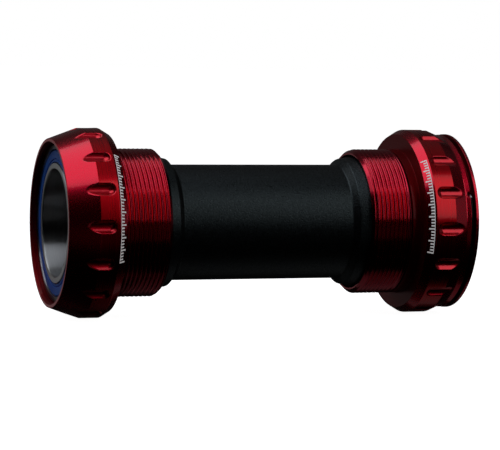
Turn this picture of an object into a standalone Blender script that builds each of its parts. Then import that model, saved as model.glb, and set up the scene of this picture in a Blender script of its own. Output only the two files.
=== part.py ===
"""Threaded external-cup bottom bracket: two cups, a centre sleeve and two sealed ball bearings.

The crank spindle's axis is X. +X is the drive side and +Z is up. The origin is on that axis,
midway between the faces of the two cups that clamp the frame's shell.

Each cup and each bearing is modelled in its own outward frame, whose +X points out of the
shell. On the non-drive side that frame is turned half a turn about Z. Profiles are lists of
(distance along the axis, radius) in millimetres.
"""

import math

import bmesh
import bpy
from mathutils import Matrix

MM = 0.001
FULL_TURN = 2 * math.pi

# Shell and cups (millimetres, distances measured outwards from the centre of the shell)
SHELL_HALF_WIDTH = 36.5
CUP_INNER_END = 24.45
CUP_OUTER_END = 49.7
CUP_BORE_RADIUS = 16.1
MOUTH_RADIUS = 16.5
THREAD_RADIUS = 17.4
THREAD_PITCH = 25.4 / 24
THREAD_DEPTH = 0.56
THREAD_START = 25.4
RELIEF_RADIUS = 16.8
RELIEF_CORNER = 0.2
RELIEF_RUN_OUT = 0.1
DRIVE_RELIEF_WIDTH = 0.3
DRIVE_RELIEF_SLOPE = 0.15
DRIVE_THREAD_TURNS = 8
NON_DRIVE_THREAD_TURNS = 10
DRIVE_THREAD_FIRST_STEP = 22
NON_DRIVE_THREAD_FIRST_STEP = 9
SEAT_INNER_RADIUS = 17.5
SEAT_RADIUS = 21.0
LAND_RADIUS = 22.18
LAND_START = 38.5
CUP_SEGMENTS = 48

# Tool notches round the land of each cup
NOTCH_COUNT = 16
NOTCH_RADIUS = 1.575
NOTCH_AXIS_RADIUS = 22.78
NOTCH_START = 39.0
NOTCH_RUN_OUT = 51.0
NOTCH_SEGMENTS = 12
NOTCH_NOSE_STEPS = 3
DRIVE_NOTCH_PHASE_DEG = 0.8
NON_DRIVE_NOTCH_PHASE_DEG = 1.9

# Non-drive cup's outer cone, and the drive cup's collar, clip groove and flange
CONE_START = 42.9
CONE_END_RADIUS = 19.7
CHAMFER_START = 43.4
COLLAR_START = 46.7
COLLAR_START_RADIUS = 20.84
COLLAR_END_RADIUS = 21.05
GROOVE_START = 47.85
GROOVE_END = 48.95
GROOVE_FLOOR_RADIUS = 19.5
FLANGE_RADIUS = 21.15
LIP_RADIUS = 19.0
LIP_DEPTH = 0.5

# Wire clip in the drive cup's groove, and the holes that take its ends
CLIP_PLACE = 48.35
CLIP_WIRE_RADIUS = 0.4
CLIP_RADIUS = 20.0
CLIP_END_RADIUS = 18.85
CLIP_BEND_RADIUS = 0.6
CLIP_BEND_STEPS = 4
CLIP_END_HEIGHT_DEG = 21.6
CLIP_ARC_POINTS = 26
CLIP_HOLE_PLACE = 48.05
CLIP_HOLE_RADIUS = 0.85
CLIP_HOLE_SIDES = 12
CUTTER_MARGIN = 0.5

# Bearings: 25 mm bore, 37 mm outside, 7 mm wide
BEARING_BORE = 12.5
BEARING_OUTSIDE = 18.5
BEARING_HALF_WIDTH = 3.5
BEARING_CENTRE = 44.8
PITCH_RADIUS = 15.5
BALL_RADIUS = 1.75
BALL_COUNT = 16
RACEWAY_RADIUS = 1.95
INNER_LAND_RADIUS = 14.55
OUTER_LAND_RADIUS = 16.45
LIP_LAND_RADIUS = 14.0
SEAL_STEP_RADIUS = 17.2
LAND_HALF_WIDTH = 2.55
RACE_CHAMFER = 0.35
RACEWAY_STEPS = 4
CAGE_INNER_RADIUS = 14.85
CAGE_OUTER_RADIUS = 16.15
CAGE_HALF_WIDTH = 2.35
POCKET_RADIUS = 1.95
POCKET_SEGMENTS = 10
POCKET_CUTTER_MARGIN = 1.85
SEAL_INNER_RADIUS = 14.2
SEAL_LIP_RADIUS = 14.9
SEAL_OUTER_RADIUS = 17.0
SEAL_BACK = 2.75
SEAL_LIP_FACE = 3.0
SEAL_FACE = 3.25
BEARING_SEGMENTS = 32
FIXED_GAP = 0.1

# Centre sleeve and its O-rings
TUBE_RADIUS = 13.65
TUBE_BORE = 12.7
TUBE_HALF_LENGTH = 20.85
SHOULDER_START = 22.0
SHOULDER_START_RADIUS = 15.24
SHOULDER_END = 24.0
SPIGOT_RADIUS = 15.6
SPIGOT_BORE = 13.8
SLEEVE_HALF_LENGTH = 36.0
SLEEVE_CHAMFER = 0.4
BORE_FLARE_START = 21.2
BORE_FLARE_END = 22.6
O_RING_PLACE = 33.5
O_RING_SECTION_RADIUS = 0.6
O_RING_RADIUS = 15.35
O_RING_GROOVE_HALF_WIDTH = 0.85
O_RING_GROOVE_RADIUS = 14.55
O_RING_SIDES = 6
SLEEVE_SEGMENTS = 36


def clear_scene():
    for thing in list(bpy.data.objects):
        bpy.data.objects.remove(thing, do_unlink=True)


def material(name, colour, roughness, metallic):
    made = bpy.data.materials.new(name)
    made.use_nodes = True
    shader = made.node_tree.nodes["Principled BSDF"]
    shader.inputs["Base Color"].default_value = (*colour, 1.0)
    shader.inputs["Roughness"].default_value = roughness
    shader.inputs["Metallic"].default_value = metallic
    made.diffuse_color = (*colour, 1.0)
    return made


def mesh_from(bm, name):
    """The bmesh as a mesh with its faces pointing out, smooth on its round stretches."""
    bmesh.ops.remove_doubles(bm, verts=bm.verts[:], dist=0.001 * MM)
    bmesh.ops.recalc_face_normals(bm, faces=bm.faces[:])
    mesh = bpy.data.meshes.new(name)
    bm.to_mesh(mesh)
    bm.free()
    mesh.shade_smooth()
    mesh.set_sharp_from_angle(angle=math.radians(25))
    return mesh


def place(name, data, look, parent=None, location=(0, 0, 0), rotation=(0, 0, 0)):
    """A new object with this mesh or curve, where location is in millimetres in the parent's frame."""
    thing = bpy.data.objects.new(name, data)
    bpy.context.scene.collection.objects.link(thing)
    if look is not None and not data.materials:
        data.materials.append(look)
    thing.parent = parent
    thing.location = [MM * value for value in location]
    thing.rotation_euler = rotation
    return thing


def place_cutter(name, data, parent, location=(0, 0, 0)):
    cutter = place(name, data, None, parent, location)
    cutter.hide_render = True
    cutter.display_type = "WIRE"
    return cutter


def cut(target, cutter):
    modifier = target.modifiers.new("cut by " + cutter.name, "BOOLEAN")
    modifier.operation = "DIFFERENCE"
    modifier.solver = "EXACT"
    modifier.object = cutter


def outward_frame(name, turned_round):
    """An empty whose +X points out of the shell, on the drive side or, turned round, on the other."""
    frame = bpy.data.objects.new(name, None)
    bpy.context.scene.collection.objects.link(frame)
    frame.rotation_euler = (0, 0, math.pi if turned_round else 0)
    return frame


def on_ring(distance, radius, angle):
    """A point on a circle round the axis. Angle 0 is straight up, and it grows right-handed about +X."""
    return (
        MM * distance,
        -MM * radius * math.sin(angle),
        MM * radius * math.cos(angle),
    )


def spin_outline(bm, outline, segments, closed=True):
    """Turns an outline of (distance, radius) points through a full turn about the axis."""
    verts = [bm.verts.new(on_ring(distance, radius, 0)) for distance, radius in outline]
    pairs = list(zip(verts, verts[1:]))
    if closed:
        pairs.append((verts[-1], verts[0]))
    edges = [bm.edges.new(pair) for pair in pairs]
    bmesh.ops.spin(
        bm,
        geom=verts + edges,
        cent=(0, 0, 0),
        axis=(1, 0, 0),
        angle=FULL_TURN,
        steps=segments,
        use_merge=True,
    )


def turned_mesh(name, outline, segments):
    bm = bmesh.new()
    spin_outline(bm, outline, segments)
    return mesh_from(bm, name)


def arc_points(centre, radius, start, end, steps):
    """Points on an arc in the (distance, radius) plane. Angles are in radians from the +distance way."""
    angles = [start + (end - start) * step / steps for step in range(steps + 1)]
    return [
        (centre[0] + radius * math.cos(angle), centre[1] + radius * math.sin(angle))
        for angle in angles
    ]


def add_thread(bm, turns, right_handed, first_step):
    """A helical V thread between two plain circles at the crest radius, a whole number of turns apart.

    Crest and root are two helical lines of points. A flat triangle closes the groove where it
    starts and where it ends.
    """
    way = 1 if right_handed else -1
    count = turns * CUP_SEGMENTS
    end = THREAD_START + turns * THREAD_PITCH

    def point(distance, radius, step):
        angle = way * FULL_TURN * (step + first_step) / CUP_SEGMENTS
        return bm.verts.new(on_ring(distance, radius, angle))

    def along(step):
        return THREAD_START + THREAD_PITCH * step / CUP_SEGMENTS

    start_ring = [point(THREAD_START, THREAD_RADIUS, k) for k in range(CUP_SEGMENTS)]
    end_ring = [point(end, THREAD_RADIUS, k) for k in range(CUP_SEGMENTS)]
    crest = [start_ring[0]]
    crest += [point(along(k), THREAD_RADIUS, k) for k in range(1, count)]
    crest.append(end_ring[0])
    root = [
        point(along(k) + THREAD_PITCH / 2, THREAD_RADIUS - THREAD_DEPTH, k)
        for k in range(count - CUP_SEGMENTS + 1)
    ]
    start_ring.append(start_ring[0])
    end_ring.append(end_ring[0])

    def face(*corners):
        bm.faces.new(list(dict.fromkeys(corners)))

    for k in range(CUP_SEGMENTS):
        last = count - CUP_SEGMENTS + k
        face(start_ring[k], start_ring[k + 1], crest[k + 1], crest[k])
        face(crest[last], crest[last + 1], end_ring[k + 1], end_ring[k])
    for k in range(count - CUP_SEGMENTS):
        face(crest[k], crest[k + 1], root[k + 1], root[k])
        face(root[k], root[k + 1], crest[k + 1 + CUP_SEGMENTS], crest[k + CUP_SEGMENTS])
    face(crest[0], root[0], crest[CUP_SEGMENTS])
    face(crest[count - CUP_SEGMENTS], root[-1], crest[count])


def cup_mesh(name, after_thread, outer_end, turns, right_handed, first_step):
    """A cup's closed mesh, from its outline between the thread's end and its start, and the thread."""
    outline = [
        (THREAD_START + turns * THREAD_PITCH, THREAD_RADIUS),
        *after_thread,
        (SHELL_HALF_WIDTH, SEAT_RADIUS),
        (LAND_START, LAND_RADIUS),
        *outer_end,
        (CUP_OUTER_END, LIP_RADIUS),
        (CUP_OUTER_END - LIP_DEPTH, BEARING_OUTSIDE + FIXED_GAP),
        (BEARING_CENTRE - BEARING_HALF_WIDTH - FIXED_GAP, BEARING_OUTSIDE + FIXED_GAP),
        (BEARING_CENTRE - BEARING_HALF_WIDTH - FIXED_GAP, CUP_BORE_RADIUS),
        (CUP_INNER_END, CUP_BORE_RADIUS),
        (CUP_INNER_END, MOUTH_RADIUS),
        (THREAD_START, THREAD_RADIUS),
    ]
    bm = bmesh.new()
    spin_outline(bm, outline, CUP_SEGMENTS, closed=False)
    add_thread(bm, turns, right_handed, first_step)
    return mesh_from(bm, name)


def notch_cutter_mesh(name, phase):
    """Ball-nosed cutters, one for each tool notch, with their axes along X."""
    nose = arc_points(
        (NOTCH_START + NOTCH_RADIUS, 0), NOTCH_RADIUS, math.pi, math.pi / 2, NOTCH_NOSE_STEPS
    )
    outline = [*nose, (NOTCH_RUN_OUT, NOTCH_RADIUS), (NOTCH_RUN_OUT, 0)]
    one = bmesh.new()
    spin_outline(one, outline, NOTCH_SEGMENTS, closed=False)
    bmesh.ops.remove_doubles(one, verts=one.verts[:], dist=0.001 * MM)
    bmesh.ops.translate(one, verts=one.verts[:], vec=(0, 0, MM * NOTCH_AXIS_RADIUS))
    single = bpy.data.meshes.new(name + "_single")
    one.to_mesh(single)
    one.free()
    every = bmesh.new()
    for notch in range(NOTCH_COUNT):
        before = len(every.verts)
        every.from_mesh(single)
        every.verts.ensure_lookup_table()
        angle = phase + FULL_TURN * notch / NOTCH_COUNT
        turn = Matrix.Rotation(angle, 3, "X")
        bmesh.ops.rotate(every, verts=every.verts[before:], cent=(0, 0, 0), matrix=turn)
    bpy.data.meshes.remove(single)
    return mesh_from(every, name)


def radial_rods_mesh(name, distance, radius, low, high, angles, sides):
    """Rods pointing out from the axis, between two radii, one at each angle."""
    bm = bmesh.new()
    for angle in angles:
        lift = Matrix.Translation((MM * distance, 0, MM * (low + high) / 2))
        bmesh.ops.create_cone(
            bm,
            cap_ends=True,
            segments=sides,
            radius1=MM * radius,
            radius2=MM * radius,
            depth=MM * (high - low),
            matrix=Matrix.Rotation(angle, 4, "X") @ lift,
        )
    return mesh_from(bm, name)


def make_drive_cup(frame, look):
    relief_start = THREAD_START + DRIVE_THREAD_TURNS * THREAD_PITCH + RELIEF_RUN_OUT
    relief_end = relief_start + DRIVE_RELIEF_WIDTH
    after_thread = [
        (relief_start, RELIEF_RADIUS),
        (relief_end, RELIEF_RADIUS),
        (relief_end + DRIVE_RELIEF_SLOPE, THREAD_RADIUS),
        (SHELL_HALF_WIDTH, THREAD_RADIUS),
    ]
    outer_end = [
        (CHAMFER_START, LAND_RADIUS),
        (COLLAR_START, COLLAR_START_RADIUS),
        (GROOVE_START, COLLAR_END_RADIUS),
        (GROOVE_START, GROOVE_FLOOR_RADIUS),
        (GROOVE_END, GROOVE_FLOOR_RADIUS),
        (GROOVE_END, FLANGE_RADIUS),
        (CUP_OUTER_END, FLANGE_RADIUS),
    ]
    mesh = cup_mesh(
        "drive_side_cup",
        after_thread,
        outer_end,
        DRIVE_THREAD_TURNS,
        False,
        DRIVE_THREAD_FIRST_STEP,
    )
    cup = place("drive_side_cup", mesh, look, frame)
    notches = notch_cutter_mesh("drive_cup_notches", math.radians(DRIVE_NOTCH_PHASE_DEG))
    cut(cup, place_cutter("drive_cup_notch_cutter", notches, frame))
    holes = radial_rods_mesh(
        "drive_cup_clip_holes",
        CLIP_HOLE_PLACE,
        CLIP_HOLE_RADIUS,
        BEARING_OUTSIDE - CUTTER_MARGIN,
        FLANGE_RADIUS + CUTTER_MARGIN,
        clip_end_angles(),
        CLIP_HOLE_SIDES,
    )
    cut(cup, place_cutter("drive_cup_clip_hole_cutter", holes, frame))


def make_non_drive_cup(frame, look):
    after_thread = [
        (THREAD_START + NON_DRIVE_THREAD_TURNS * THREAD_PITCH + RELIEF_RUN_OUT, RELIEF_RADIUS),
        (SHELL_HALF_WIDTH - RELIEF_CORNER, RELIEF_RADIUS),
        (SHELL_HALF_WIDTH, SEAT_INNER_RADIUS),
    ]
    outer_end = [(CONE_START, LAND_RADIUS), (CUP_OUTER_END, CONE_END_RADIUS)]
    mesh = cup_mesh(
        "non_drive_side_cup",
        after_thread,
        outer_end,
        NON_DRIVE_THREAD_TURNS,
        True,
        NON_DRIVE_THREAD_FIRST_STEP,
    )
    cup = place("non_drive_side_cup", mesh, look, frame)
    notches = notch_cutter_mesh("non_drive_cup_notches", math.radians(NON_DRIVE_NOTCH_PHASE_DEG))
    cut(cup, place_cutter("non_drive_cup_notch_cutter", notches, frame))


def clip_end_angles():
    """The clip's two ends, the same height above the axis at the front and at the back."""
    rise = math.radians(90 - CLIP_END_HEIGHT_DEG)
    return rise, FULL_TURN - rise


def make_clip(frame, look):
    """Round spring wire that passes under the cup, with both ends bent in through the groove's floor."""
    start, end = clip_end_angles()
    bend_angle = CLIP_BEND_RADIUS / CLIP_RADIUS
    straight = CLIP_RADIUS - CLIP_BEND_RADIUS
    bend = [
        (
            straight + CLIP_BEND_RADIUS * math.sin(turn),
            bend_angle * (1 - math.cos(turn)),
        )
        for turn in [math.pi / 2 * step / CLIP_BEND_STEPS for step in range(CLIP_BEND_STEPS)]
    ]
    first = [(CLIP_END_RADIUS, start)]
    first += [(radius, start + shift) for radius, shift in bend]
    last = [(radius, end - shift) for radius, shift in reversed(bend)]
    last.append((CLIP_END_RADIUS, end))
    span = end - start - 2 * bend_angle
    middle = [
        (CLIP_RADIUS, start + bend_angle + span * step / CLIP_ARC_POINTS)
        for step in range(CLIP_ARC_POINTS + 1)
    ]
    route = first + middle + last
    curve = bpy.data.curves.new("retaining_clip", "CURVE")
    curve.dimensions = "3D"
    curve.bevel_depth = MM * CLIP_WIRE_RADIUS
    curve.bevel_resolution = 1
    curve.use_fill_caps = True
    spline = curve.splines.new("POLY")
    spline.points.add(len(route) - 1)
    for point, (radius, angle) in zip(spline.points, route):
        point.co = (*on_ring(CLIP_PLACE, radius, angle), 1)
    place("retaining_clip", curve, look, frame)


def outer_race_outline():
    half, land = BEARING_HALF_WIDTH, LAND_HALF_WIDTH
    lean = math.asin((OUTER_LAND_RADIUS - PITCH_RADIUS) / RACEWAY_RADIUS)
    raceway = arc_points(
        (0, PITCH_RADIUS), RACEWAY_RADIUS, math.pi - lean, lean, RACEWAY_STEPS
    )
    return [
        (-half, BEARING_OUTSIDE),
        (-half, SEAL_STEP_RADIUS),
        (-land, SEAL_STEP_RADIUS),
        (-land, OUTER_LAND_RADIUS),
        *raceway,
        (land, OUTER_LAND_RADIUS),
        (land, SEAL_STEP_RADIUS),
        (half, SEAL_STEP_RADIUS),
        (half, BEARING_OUTSIDE - RACE_CHAMFER),
        (half - RACE_CHAMFER, BEARING_OUTSIDE),
    ]


def inner_race_outline():
    half, land = BEARING_HALF_WIDTH, LAND_HALF_WIDTH
    lean = math.asin((INNER_LAND_RADIUS - PITCH_RADIUS) / RACEWAY_RADIUS)
    raceway = arc_points(
        (0, PITCH_RADIUS), RACEWAY_RADIUS, -math.pi - lean, lean, RACEWAY_STEPS
    )
    return [
        (-half, BEARING_BORE),
        (-half, LIP_LAND_RADIUS),
        (-land, LIP_LAND_RADIUS),
        (-land, INNER_LAND_RADIUS),
        *raceway,
        (land, INNER_LAND_RADIUS),
        (land, LIP_LAND_RADIUS),
        (half, LIP_LAND_RADIUS),
        (half, BEARING_BORE + RACE_CHAMFER),
        (half - RACE_CHAMFER, BEARING_BORE),
    ]


def seal_outline():
    """A flat shield ring with a thinner lip that runs on the inner race."""
    return [
        (SEAL_BACK, SEAL_INNER_RADIUS),
        (SEAL_BACK, SEAL_OUTER_RADIUS),
        (SEAL_FACE, SEAL_OUTER_RADIUS),
        (SEAL_FACE, SEAL_LIP_RADIUS),
        (SEAL_LIP_FACE, SEAL_LIP_RADIUS),
        (SEAL_LIP_FACE, SEAL_INNER_RADIUS),
    ]


def cage_outline():
    return [
        (-CAGE_HALF_WIDTH, CAGE_INNER_RADIUS),
        (-CAGE_HALF_WIDTH, CAGE_OUTER_RADIUS),
        (CAGE_HALF_WIDTH, CAGE_OUTER_RADIUS),
        (CAGE_HALF_WIDTH, CAGE_INNER_RADIUS),
    ]


def ball_mesh():
    bm = bmesh.new()
    bmesh.ops.create_icosphere(bm, subdivisions=2, radius=MM * BALL_RADIUS)
    return mesh_from(bm, "bearing_ball")


def make_bearing(prefix, frame, meshes, looks):
    """Both races, the caged balls and the two seals of one bearing, on its frame's axis."""
    centre = (BEARING_CENTRE, 0, 0)
    for piece in ("outer_race", "inner_race"):
        place(prefix + piece, meshes[piece], looks["steel"], frame, centre)
    facing_in = (0, 0, math.pi)
    place(prefix + "outboard_seal", meshes["seal"], looks["seal"], frame, centre)
    place(prefix + "inboard_seal", meshes["seal"], looks["seal"], frame, centre, facing_in)
    angles = [FULL_TURN * (ball + 0.5) / BALL_COUNT for ball in range(BALL_COUNT)]
    pockets = radial_rods_mesh(
        prefix + "pockets",
        0,
        POCKET_RADIUS,
        CAGE_INNER_RADIUS - POCKET_CUTTER_MARGIN,
        CAGE_OUTER_RADIUS + POCKET_CUTTER_MARGIN,
        angles,
        POCKET_SEGMENTS,
    )
    cage = place(prefix + "ball_cage", meshes["cage"], looks["cage"], frame, centre)
    cut(cage, place_cutter(prefix + "pocket_cutter", pockets, frame, centre))
    for number, angle in enumerate(angles, start=1):
        side, up = (-math.sin(angle), math.cos(angle))
        spot = (BEARING_CENTRE, PITCH_RADIUS * side, PITCH_RADIUS * up)
        place(f"{prefix}ball_{number:02d}", meshes["ball"], looks["ceramic"], frame, spot)


def sleeve_outline():
    """Thin in the middle, with a stouter grooved spigot at each end."""
    half = [
        (TUBE_HALF_LENGTH, TUBE_RADIUS),
        (SHOULDER_START, SHOULDER_START_RADIUS),
        (SHOULDER_END, SPIGOT_RADIUS),
        (O_RING_PLACE - O_RING_GROOVE_HALF_WIDTH, SPIGOT_RADIUS),
        (O_RING_PLACE - O_RING_GROOVE_HALF_WIDTH, O_RING_GROOVE_RADIUS),
        (O_RING_PLACE + O_RING_GROOVE_HALF_WIDTH, O_RING_GROOVE_RADIUS),
        (O_RING_PLACE + O_RING_GROOVE_HALF_WIDTH, SPIGOT_RADIUS),
        (SLEEVE_HALF_LENGTH - SLEEVE_CHAMFER, SPIGOT_RADIUS),
        (SLEEVE_HALF_LENGTH, SPIGOT_RADIUS - SLEEVE_CHAMFER),
        (SLEEVE_HALF_LENGTH, SPIGOT_BORE),
        (BORE_FLARE_END, SPIGOT_BORE),
        (BORE_FLARE_START, TUBE_BORE),
    ]
    return half + [(-distance, radius) for distance, radius in reversed(half)]


def o_ring_outline():
    around = arc_points(
        (0, O_RING_RADIUS), O_RING_SECTION_RADIUS, 0, FULL_TURN, O_RING_SIDES
    )
    return around[:-1]


def make_sleeve(looks):
    mesh = turned_mesh("centre_sleeve", sleeve_outline(), SLEEVE_SEGMENTS)
    place("centre_sleeve", mesh, looks["composite"])
    ring = turned_mesh("sleeve_o_ring", o_ring_outline(), BEARING_SEGMENTS)
    place("sleeve_o_ring_drive", ring, looks["rubber"], None, (O_RING_PLACE, 0, 0))
    place("sleeve_o_ring_non_drive", ring, looks["rubber"], None, (-O_RING_PLACE, 0, 0))


def main():
    clear_scene()
    looks = {
        "red": material("red_anodised", (0.32, 0.012, 0.03), 0.28, 1.0),
        "composite": material("black_composite", (0.012, 0.014, 0.015), 0.42, 0.0),
        "steel": material("bearing_steel", (0.55, 0.55, 0.56), 0.25, 1.0),
        "seal": material("blue_seal", (0.012, 0.045, 0.2), 0.5, 0.0),
        "cage": material("cage_polymer", (0.6, 0.52, 0.36), 0.5, 0.0),
        "ceramic": material("ceramic_ball", (0.02, 0.02, 0.02), 0.08, 0.0),
        "rubber": material("o_ring_rubber", (0.015, 0.015, 0.015), 0.6, 0.0),
        "wire": material("spring_wire", (0.62, 0.6, 0.6), 0.22, 1.0),
    }
    bearing_meshes = {
        "outer_race": turned_mesh("outer_race", outer_race_outline(), BEARING_SEGMENTS),
        "inner_race": turned_mesh("inner_race", inner_race_outline(), BEARING_SEGMENTS),
        "seal": turned_mesh("seal", seal_outline(), BEARING_SEGMENTS),
        "cage": turned_mesh("ball_cage", cage_outline(), BEARING_SEGMENTS),
        "ball": ball_mesh(),
    }
    drive = outward_frame("drive_side_frame", False)
    non_drive = outward_frame("non_drive_side_frame", True)
    make_drive_cup(drive, looks["red"])
    make_non_drive_cup(non_drive, looks["red"])
    make_clip(drive, looks["wire"])
    make_bearing("drive_", drive, bearing_meshes, looks)
    make_bearing("non_drive_", non_drive, bearing_meshes, looks)
    make_sleeve(looks)


main()
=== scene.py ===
import math

import bmesh
import bpy
import numpy as np
from mathutils import Matrix, Vector


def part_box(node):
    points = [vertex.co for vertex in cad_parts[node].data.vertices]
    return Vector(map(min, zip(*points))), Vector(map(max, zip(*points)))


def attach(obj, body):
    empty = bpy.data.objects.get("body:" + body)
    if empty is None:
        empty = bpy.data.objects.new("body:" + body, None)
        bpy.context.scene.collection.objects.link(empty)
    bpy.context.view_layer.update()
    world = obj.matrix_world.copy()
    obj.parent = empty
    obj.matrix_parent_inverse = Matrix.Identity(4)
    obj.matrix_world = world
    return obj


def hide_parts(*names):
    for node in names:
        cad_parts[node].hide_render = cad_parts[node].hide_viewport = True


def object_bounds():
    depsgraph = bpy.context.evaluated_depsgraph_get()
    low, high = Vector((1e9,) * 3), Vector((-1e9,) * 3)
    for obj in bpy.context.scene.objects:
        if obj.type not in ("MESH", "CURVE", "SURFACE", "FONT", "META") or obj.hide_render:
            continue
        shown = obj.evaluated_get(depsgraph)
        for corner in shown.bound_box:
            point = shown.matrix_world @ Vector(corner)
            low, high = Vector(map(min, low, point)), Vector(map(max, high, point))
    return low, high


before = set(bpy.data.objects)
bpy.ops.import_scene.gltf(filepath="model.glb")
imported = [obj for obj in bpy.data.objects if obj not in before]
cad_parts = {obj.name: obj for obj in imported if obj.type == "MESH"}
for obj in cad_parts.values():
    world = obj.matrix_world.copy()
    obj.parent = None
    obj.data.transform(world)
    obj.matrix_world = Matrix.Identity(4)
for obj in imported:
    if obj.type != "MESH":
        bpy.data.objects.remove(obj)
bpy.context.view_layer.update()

MM = 0.001
FULL_TURN = 2 * math.pi
TOLERANCE = 1e-6
FILLET_STEPS = 5
FILLET_SHARE = 0.45
FILLET_MARGIN = 0.03

# Camera: its angles in degrees, its distance and target in metres, and its lens in millimetres
CAMERA_AZIMUTH = -18.35
CAMERA_ELEVATION = 4.29
CAMERA_ROLL = 1.016
CAMERA_DISTANCE = 0.5652
CAMERA_TARGET = (-0.00049, 0.0, -0.00077)
CAMERA_LENS = 170.6

# Cup details, in millimetres, measured outwards from the middle of the shell
SHELL_FACE = 36.5
THREAD_PITCH = 25.4 / 24
THREAD_DEPTH = 0.56
THREAD_START = 25.4
THREAD_RADIUS = 17.4
CREST_ROUNDING = 0.42
ROOT_ROUNDING = 0.16
MOUTH_RADIUS = 16.5
BORE_RADIUS = 16.1
RELIEF_RADIUS = 16.8
SEAT_RADIUS = 21.0
LAND_RADIUS = 22.18
LAND_START = 38.5
BEARING_SEAT = 18.52
LIP_RADIUS = 19.0
LIP_DEPTH = 0.5
RELIEF_RUN_OUT = 0.1
THREAD_FADE = 0.7 * THREAD_PITCH
NOTCH_COUNT = 16
NOTCH_RADIUS = 1.575
NOTCH_AXIS_RADIUS = 22.78
NOTCH_START = 39.0
NOTCH_RUN_OUT = 46.4
EDGE_ROUNDING = 0.16
EDGE_DROP = 0.05

# What differs from cup to cup. A thread's offset is its start, in turns, and a notch phase is an angle
DRIVE_THREAD_TURNS = 8
DRIVE_THREAD_OFFSET = 22 / 48
DRIVE_NOTCH_PHASE = math.radians(0.8)
DRIVE_LAND_END = 43.4
DRIVE_RELIEF_WIDTH = 0.3
DRIVE_RELIEF_SLOPE = 0.15
NON_DRIVE_THREAD_TURNS = 10
NON_DRIVE_THREAD_OFFSET = 9 / 48
NON_DRIVE_NOTCH_PHASE = math.radians(1.9)
NON_DRIVE_LAND_END = 42.9
NON_DRIVE_END_RADIUS = 19.7
NON_DRIVE_RELIEF_SLOPE = 0.2
NON_DRIVE_SEAT_RADIUS = 17.5

# Flat rings where a head's columns change to a body's: the head's radius, then the body's
SHELL_FACE_RING = (19.6, 19.2)
GROOVE_RING = (20.4, 20.2)
NON_DRIVE_END_RING = (19.5, 19.4)

# How finely a cup is divided: its columns, and the gaps between its rows, in millimetres
BODY_COLUMNS = 216
NOTCH_STEPS = 9
NOTCH_SIDE_GAPS = (0.05, 0.1, 0.17, 0.26)
PLAIN_COLUMNS = 4
NOSE_MARGIN = 0.2
NOSE_SPACING = 0.08
NOTCH_SPACING = 0.25
THREAD_SPACING = THREAD_PITCH / 12

# A cup's zones, in the order of its materials. Zone 0 is its smooth cones. The dull zone is a darker
# copy of the red, as painted shade
CUP_ZONES = ("red_anodised", "turned_land", "milled_notch", "dull_painted_shade", "thread", "rim")
LAND_ZONE, NOTCH_ZONE, DULL_PAINTED_SHADE_ZONE, THREAD_ZONE, RIM_ZONE = range(1, len(CUP_ZONES))

# Bearings
PITCH_RADIUS = 15.5
BALL_RADIUS = 1.75
BALL_COUNT = 16
RACEWAY_RADIUS = 1.95
RACEWAY_STEPS = 20
RACE_LAND_HALF_WIDTH = 2.55
CAGE_HALF_WIDTH = 2.35
CAGE_INNER_RADIUS = 14.85
CAGE_OUTER_RADIUS = 16.15
POCKET_RADIUS = 1.95
POCKET_CUT_HALF_LENGTH = 2.5
OUTER_RACE_RADIUS = 18.5
OUTER_RACE_STEP = 17.2
OUTER_RACE_LAND = 16.45
INNER_RACE_BORE = 12.5
INNER_RACE_STEP = 14.0
INNER_RACE_LAND = 14.55

# Seals: distances from the bearing's middle, then radii, and how far the side walls lean
SEAL_BACK = 2.72
SEAL_RIM_FACE = 3.02
SEAL_GROOVE_FACE = 3.08
SEAL_FACE = 3.3
SEAL_LIP_RADIUS = 14.22
SEAL_GROOVE_INNER_RADIUS = 14.66
SEAL_GROOVE_OUTER_RADIUS = 15.0
SEAL_WEB_RADIUS = 16.8
SEAL_RIM_RADIUS = 17.05
SEAL_DRAFT = 0.06

# How many flat sides stand for a circle
RING_SEGMENTS = 160
WIDE_SEGMENTS = 192
ROD_SEGMENTS = 32
WIRE_SIDES = 24
O_RING_SIDES = 24

# Drive cup's outboard end: a collar, the groove for the wire clip, and a flange
COLLAR_START = 46.7
COLLAR_START_RADIUS = 20.84
COLLAR_END_RADIUS = 21.05
GROOVE_START = 47.85
GROOVE_END = 48.95
GROOVE_FLOOR = 19.5
FLANGE_RADIUS = 21.15

# Wire clip, with its radius measured from the axis to the wire's middle, and its holes
CLIP_PLACE = 48.35
CLIP_WIRE_RADIUS = 0.4
CLIP_RADIUS = 20.0
CLIP_END_RADIUS = 18.85
CLIP_BEND_RADIUS = 0.6
CLIP_HOLE_PLACE = 48.05
CLIP_HOLE_RADIUS = 0.85
CLIP_END_ANGLE = math.radians(68.4)
CLIP_END_STRAIGHT = 0.3
CLIP_BEND_STEPS = 9
CLIP_ARC_STEPS = 90

# Sleeve: its barrel, and the spigots with the O-rings' grooves that go into the cups
BARREL_END = 20.85
BARREL_RADIUS = 13.65
SHOULDER_START = 22.1
SHOULDER_START_RADIUS = 15.1
SHOULDER_RADIUS = 15.72
SHOULDER_END = 25.7
SPIGOT_START = 27.0
SPIGOT_RADIUS = 15.6
O_RING_GROOVE_START = 32.65
O_RING_GROOVE_END = 34.35
O_RING_GROOVE_RADIUS = 14.55
SPIGOT_BORE = 13.8
SPIGOT_BORE_END = 22.6
BARREL_BORE = 12.7
BARREL_BORE_END = 21.2

# Printed scale on each cup's inboard cone: its arc in degrees from straight up, right-handed about
# the outward axis, and its ticks
MARK_DRIVE = (45.0, 106.0)
MARK_NON_DRIVE = (-110.0, -41.0)
MARK_STEP = math.radians(1.9)
MARK_WIDTH = 0.34
MARK_LONG_TICK = 0.4
MARK_SHORT_TICK = 0.95
MARK_LONG_EVERY = 4
MARK_LINE = (1.75, 1.9)
MARK_LINE_STEPS = 48
MARK_SUNK = -0.02
MARK_RAISED = 0.025

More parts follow.
